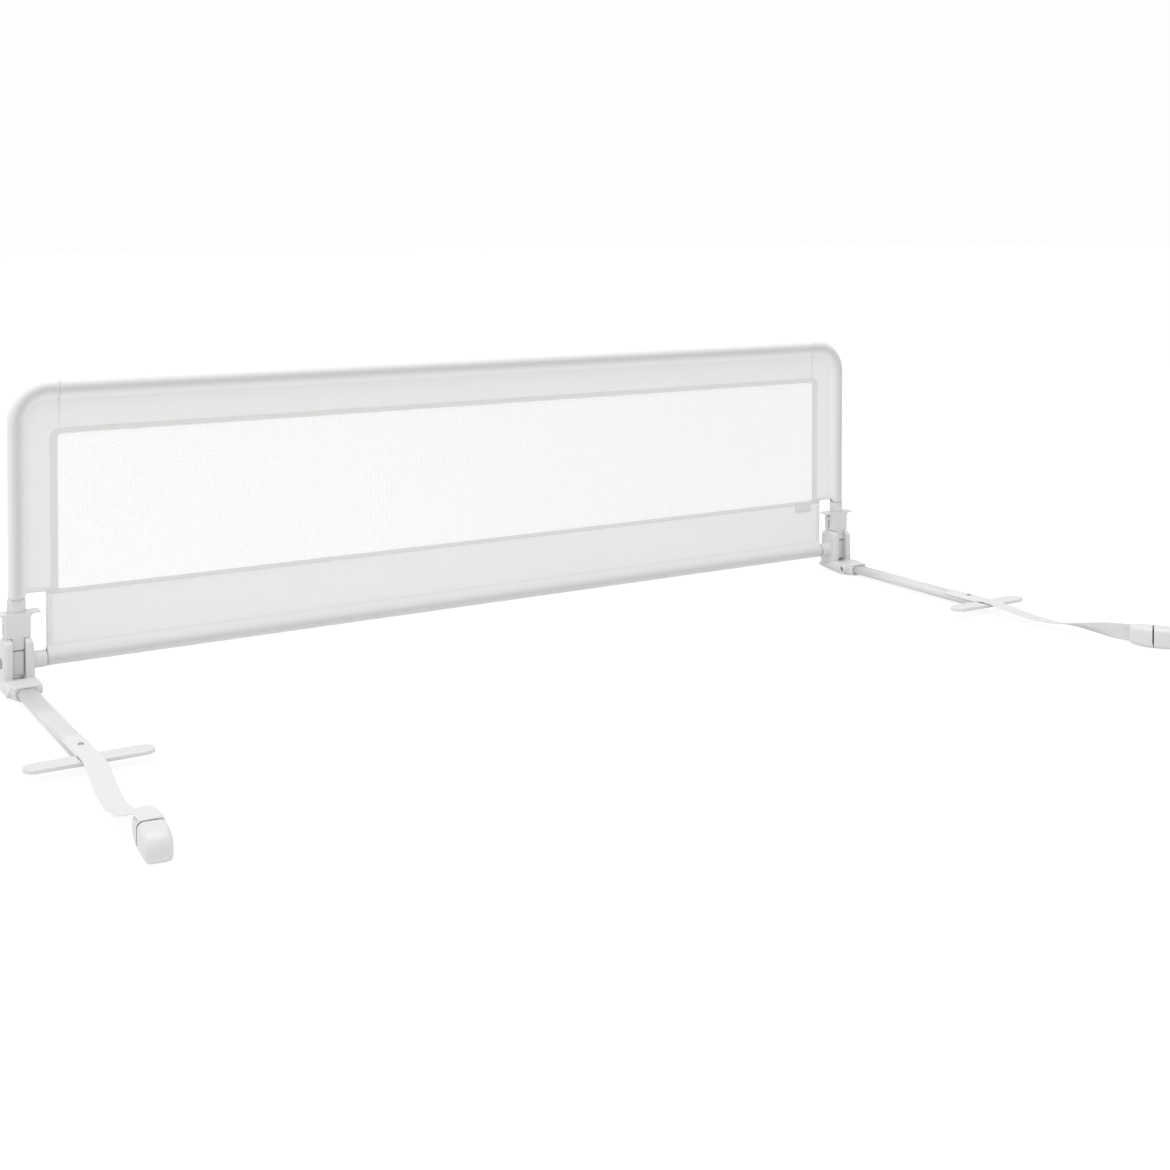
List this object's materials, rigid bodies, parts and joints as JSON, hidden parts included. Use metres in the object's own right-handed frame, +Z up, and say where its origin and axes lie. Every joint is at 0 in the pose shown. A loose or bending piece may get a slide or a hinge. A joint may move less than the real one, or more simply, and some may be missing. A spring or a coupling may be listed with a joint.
{
  "type": "folding bed guard rail",
  "caption": "Long tube-framed rail with a cloth cover and mesh window that folds down on two locking hinges, held under a mattress by flat arms, cross feet and webbing straps.",
  "frame": {"origin": "on the floor, in the middle of the box round everything but the two straps and their anchors", "axes": "+X along the rail to the right as seen from the bed, +Y away from the bed, +Z up"},
  "size_m": [1.5822, 0.7159, 0.4134],
  "materials": {
    "white_plastic": "injection moulded, fine satin",
    "white_powder_coat": "white powder coat on steel tube",
    "zinc_steel": "zinc plated",
    "polyester_cloth": "plain woven polyester",
    "binding_tape": "folded edge tape, stitched",
    "mesh_net": "fine warp-knitted net, see-through",
    "webbing": "flat woven polypropylene webbing"
  },
  "bodies": {
    "base": {"hinge_base_left": "white_plastic", "pivot_pin_left": "zinc_steel", "bottom_tube_left": "white_powder_coat", "arm_left": "white_powder_coat", "arm_screw_left": "zinc_steel", "cross_foot_left": "white_plastic", "foot_screw_left": "zinc_steel", "strap_left": "webbing", "anchor_rear_left": "white_plastic", "anchor_front_left": "white_plastic", "hinge_base_right": "white_plastic", "pivot_pin_right": "zinc_steel", "bottom_tube_right": "white_powder_coat", "arm_right": "white_powder_coat", "arm_screw_right": "zinc_steel", "cross_foot_right": "white_plastic", "foot_screw_right": "zinc_steel", "strap_right": "webbing", "anchor_rear_right": "white_plastic", "anchor_front_right": "white_plastic"},
    "rail": {"top_tube": "white_powder_coat", "top_band": "polyester_cloth", "lower_panel": "polyester_cloth", "window_binding": "binding_tape", "mesh_window": "mesh_net", "post_foot_left": "white_plastic", "slot_pin_left": "zinc_steel", "corner_tube_left": "white_powder_coat", "side_band_left": "polyester_cloth", "return_spring_left": "zinc_steel", "post_foot_right": "white_plastic", "slot_pin_right": "zinc_steel", "corner_tube_right": "white_powder_coat", "side_band_right": "polyester_cloth", "return_spring_right": "zinc_steel"},
    "slider_left": {"slider_left": "white_plastic", "slider_screw_left": "zinc_steel"},
    "slider_right": {"slider_right": "white_plastic", "slider_screw_right": "zinc_steel"}
  },
  "joints": [
    {"name": "rail_fold", "type": "hinge", "parent": "base", "child": "rail", "pos_m": [0, 0.182, 0.038], "axis": [-1, 0, 0], "range_deg": [0, 105]},
    {"name": "slider_left_lift", "type": "slide", "parent": "rail", "child": "slider_left", "axis": [0, 0, 1], "range_m": [0, 0.012], "stiffness_N_per_m": 400, "springref_m": -0.008, "deforming": ["return_spring_left"]},
    {"name": "slider_right_lift", "type": "slide", "parent": "rail", "child": "slider_right", "axis": [0, 0, 1], "range_m": [0, 0.012], "stiffness_N_per_m": 400, "springref_m": -0.008, "deforming": ["return_spring_right"]}
  ]
}
